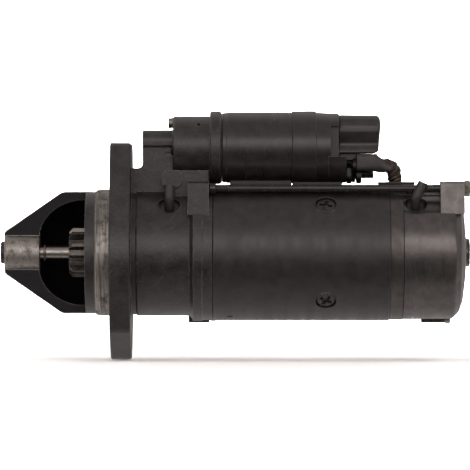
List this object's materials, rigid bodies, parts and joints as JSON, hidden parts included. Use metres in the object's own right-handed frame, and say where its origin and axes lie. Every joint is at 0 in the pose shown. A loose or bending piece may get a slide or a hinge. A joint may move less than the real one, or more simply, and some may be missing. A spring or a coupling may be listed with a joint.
{
  "type": "starter motor",
  "caption": "Gear-reduction starter motor with a pre-engaged pinion in an open nose, a two-bolt flange and a solenoid on top.",
  "frame": {"origin": "centre of the mounting spigot, in the plane of the flange's mounting face", "axes": "-X along the output shaft towards the pinion end, +Z towards the solenoid, the pinion window opens to -Y"},
  "size_m": [0.3309, 0.1186, 0.1752],
  "materials": {
    "cast_black": "satin black paint over iron castings",
    "case_black": "satin black paint over drawn steel",
    "bare_steel": "turned and ground steel",
    "zinc_steel": "zinc plated",
    "black_fastener": "painted with the motor",
    "oiled_steel": "hardened, oiled",
    "spring_steel": "hard drawn",
    "lamination": "stamped laminations",
    "copper": "bare or enamelled copper",
    "bronze": "sintered bronze",
    "carbon": "pressed copper carbon",
    "moulding": "black phenolic moulding",
    "rubber": "moulded rubber, painted over",
    "brass": "stamped brass",
    "braid": "braided copper, painted over"
  },
  "bodies": {
    "housing": {"drive_end_housing": "cast_black", "bearing_bushes": "bronze", "end_plugs": "case_black", "intermediate_bracket": "cast_black", "ring_gear": "oiled_steel", "gear_cover_plate": "zinc_steel", "yoke": "case_black", "pole_shoes": "lamination", "field_coils": "copper", "pole_screws": "black_fastener", "brush_plate": "case_black", "brush_boxes": "brass", "rear_cover": "cast_black", "through_bolts": "black_fastener", "fork_pivot_pin": "bare_steel", "solenoid_case": "case_black", "solenoid_screws": "zinc_steel", "coil_former": "moulding", "solenoid_coil": "copper", "fixed_core": "zinc_steel", "solenoid_cap": "moulding", "terminal_hood": "moulding", "terminal_studs": "black_fastener", "lead_lug": "copper", "field_lead": "braid", "lead_boot": "rubber", "grommet": "rubber", "vent_tubes": "rubber"},
    "armature": {"armature_shaft": "bare_steel", "armature_core": "lamination", "armature_winding": "copper", "commutator": "copper"},
    "output_shaft": {"drive_shaft": "bare_steel", "pilot_bush": "bronze", "planet_pins": "bare_steel", "stop_ring": "oiled_steel"},
    "planet_1": {"planet_gear_1": "oiled_steel"},
    "planet_2": {"planet_gear_2": "oiled_steel"},
    "planet_3": {"planet_gear_3": "oiled_steel"},
    "clutch": {"clutch_shell": "oiled_steel", "clutch_rollers": "bare_steel", "clutch_cover": "zinc_steel", "guide_collar": "oiled_steel", "meshing_spring": "spring_steel"},
    "pinion": {"pinion": "oiled_steel"},
    "fork": {"shift_fork": "oiled_steel"},
    "plunger": {"plunger": "zinc_steel", "clevis_pin": "bare_steel", "return_spring": "spring_steel"},
    "contact": {"contact_rod": "zinc_steel", "contact_disc": "copper", "contact_spring": "spring_steel"},
    "brush_1": {"brush_1": "carbon"},
    "brush_spring_1": {"brush_spring_1": "spring_steel"},
    "brush_2": {"brush_2": "carbon"},
    "brush_spring_2": {"brush_spring_2": "spring_steel"},
    "brush_3": {"brush_3": "carbon"},
    "brush_spring_3": {"brush_spring_3": "spring_steel"},
    "brush_4": {"brush_4": "carbon"},
    "brush_spring_4": {"brush_spring_4": "spring_steel"}
  },
  "joints": [
    {"name": "armature_spin", "type": "hinge", "parent": "housing", "child": "armature", "pos_m": [0.15, 0, 0], "axis": [1, 0, 0], "continuous": true},
    {"name": "output_spin", "type": "hinge", "parent": "housing", "child": "output_shaft", "pos_m": [0, 0, 0], "axis": [1, 0, 0], "continuous": true},
    {"name": "plunger_slide", "type": "slide", "parent": "housing", "child": "plunger", "axis": [1, 0, 0], "range_m": [0, 0.00977], "stiffness_N_per_m": 900, "springref_m": -0.012},
    {"name": "fork_turn", "type": "hinge", "parent": "housing", "child": "fork", "pos_m": [0.0346, 0, 0.046], "axis": [0, 1, 0], "range_deg": [0, 19.95]},
    {"name": "drive_slide", "type": "slide", "parent": "output_shaft", "child": "clutch", "axis": [-1, 0, 0], "range_m": [0, 0.01601]},
    {"name": "pinion_overrun", "type": "hinge", "parent": "clutch", "child": "pinion", "pos_m": [0, 0, 0], "axis": [1, 0, 0], "continuous": true},
    {"name": "contact_slide", "type": "slide", "parent": "housing", "child": "contact", "axis": [1, 0, 0], "range_m": [0, 0.00251]},
    {"name": "planet_1_spin", "type": "hinge", "parent": "output_shaft", "child": "planet_1", "pos_m": [0.0725, 0, 0.024], "axis": [1, 0, 0], "continuous": true},
    {"name": "planet_2_spin", "type": "hinge", "parent": "output_shaft", "child": "planet_2", "pos_m": [0.0725, -0.02078, -0.012], "axis": [1, 0, 0], "continuous": true},
    {"name": "planet_3_spin", "type": "hinge", "parent": "output_shaft", "child": "planet_3", "pos_m": [0.0725, 0.02078, -0.012], "axis": [1, 0, 0], "continuous": true},
    {"name": "brush_1_slide", "type": "slide", "parent": "housing", "child": "brush_1", "axis": [0, 0.7071, 0.7071], "range_m": [0, 0.004], "stiffness_N_per_m": 300, "springref_m": -0.02},
    {"name": "brush_spring_1_turn", "type": "hinge", "parent": "housing", "child": "brush_spring_1", "pos_m": [0.2165, 0.03338, 0.01386], "axis": [-1, 0, 0], "range_deg": [0, 17.25]},
    {"name": "brush_2_slide", "type": "slide", "parent": "housing", "child": "brush_2", "axis": [0, -0.7071, 0.7071], "range_m": [0, 0.004], "stiffness_N_per_m": 300, "springref_m": -0.02},
    {"name": "brush_spring_2_turn", "type": "hinge", "parent": "housing", "child": "brush_spring_2", "pos_m": [0.2165, -0.01386, 0.03338], "axis": [-1, 0, 0], "range_deg": [0, 17.25]},
    {"name": "brush_3_slide", "type": "slide", "parent": "housing", "child": "brush_3", "axis": [0, -0.7071, -0.7071], "range_m": [0, 0.004], "stiffness_N_per_m": 300, "springref_m": -0.02},
    {"name": "brush_spring_3_turn", "type": "hinge", "parent": "housing", "child": "brush_spring_3", "pos_m": [0.2165, -0.03338, -0.01386], "axis": [-1, 0, 0], "range_deg": [0, 17.25]},
    {"name": "brush_4_slide", "type": "slide", "parent": "housing", "child": "brush_4", "axis": [0, 0.7071, -0.7071], "range_m": [0, 0.004], "stiffness_N_per_m": 300, "springref_m": -0.02},
    {"name": "brush_spring_4_turn", "type": "hinge", "parent": "housing", "child": "brush_spring_4", "pos_m": [0.2165, 0.01386, -0.03338], "axis": [-1, 0, 0], "range_deg": [0, 17.25]}
  ],
  "couplings": [
    {"joint": "output_spin", "follows": "armature_spin", "ratio": 0.22917},
    {"joint": "fork_turn", "follows": "plunger_slide", "rad_per_m": 35.587},
    {"joint": "drive_slide", "follows": "plunger_slide", "ratio": 1.637},
    {"joint": "contact_slide", "follows": "plunger_slide", "ratio": 0.25578},
    {"joint": "planet_1_spin", "follows": "armature_spin", "ratio": -0.65224},
    {"joint": "planet_2_spin", "follows": "armature_spin", "ratio": -0.65224},
    {"joint": "planet_3_spin", "follows": "armature_spin", "ratio": -0.65224},
    {"joint": "brush_spring_1_turn", "follows": "brush_1_slide", "rad_per_m": 75},
    {"joint": "brush_spring_2_turn", "follows": "brush_2_slide", "rad_per_m": 75},
    {"joint": "brush_spring_3_turn", "follows": "brush_3_slide", "rad_per_m": 75},
    {"joint": "brush_spring_4_turn", "follows": "brush_4_slide", "rad_per_m": 75}
  ]
}
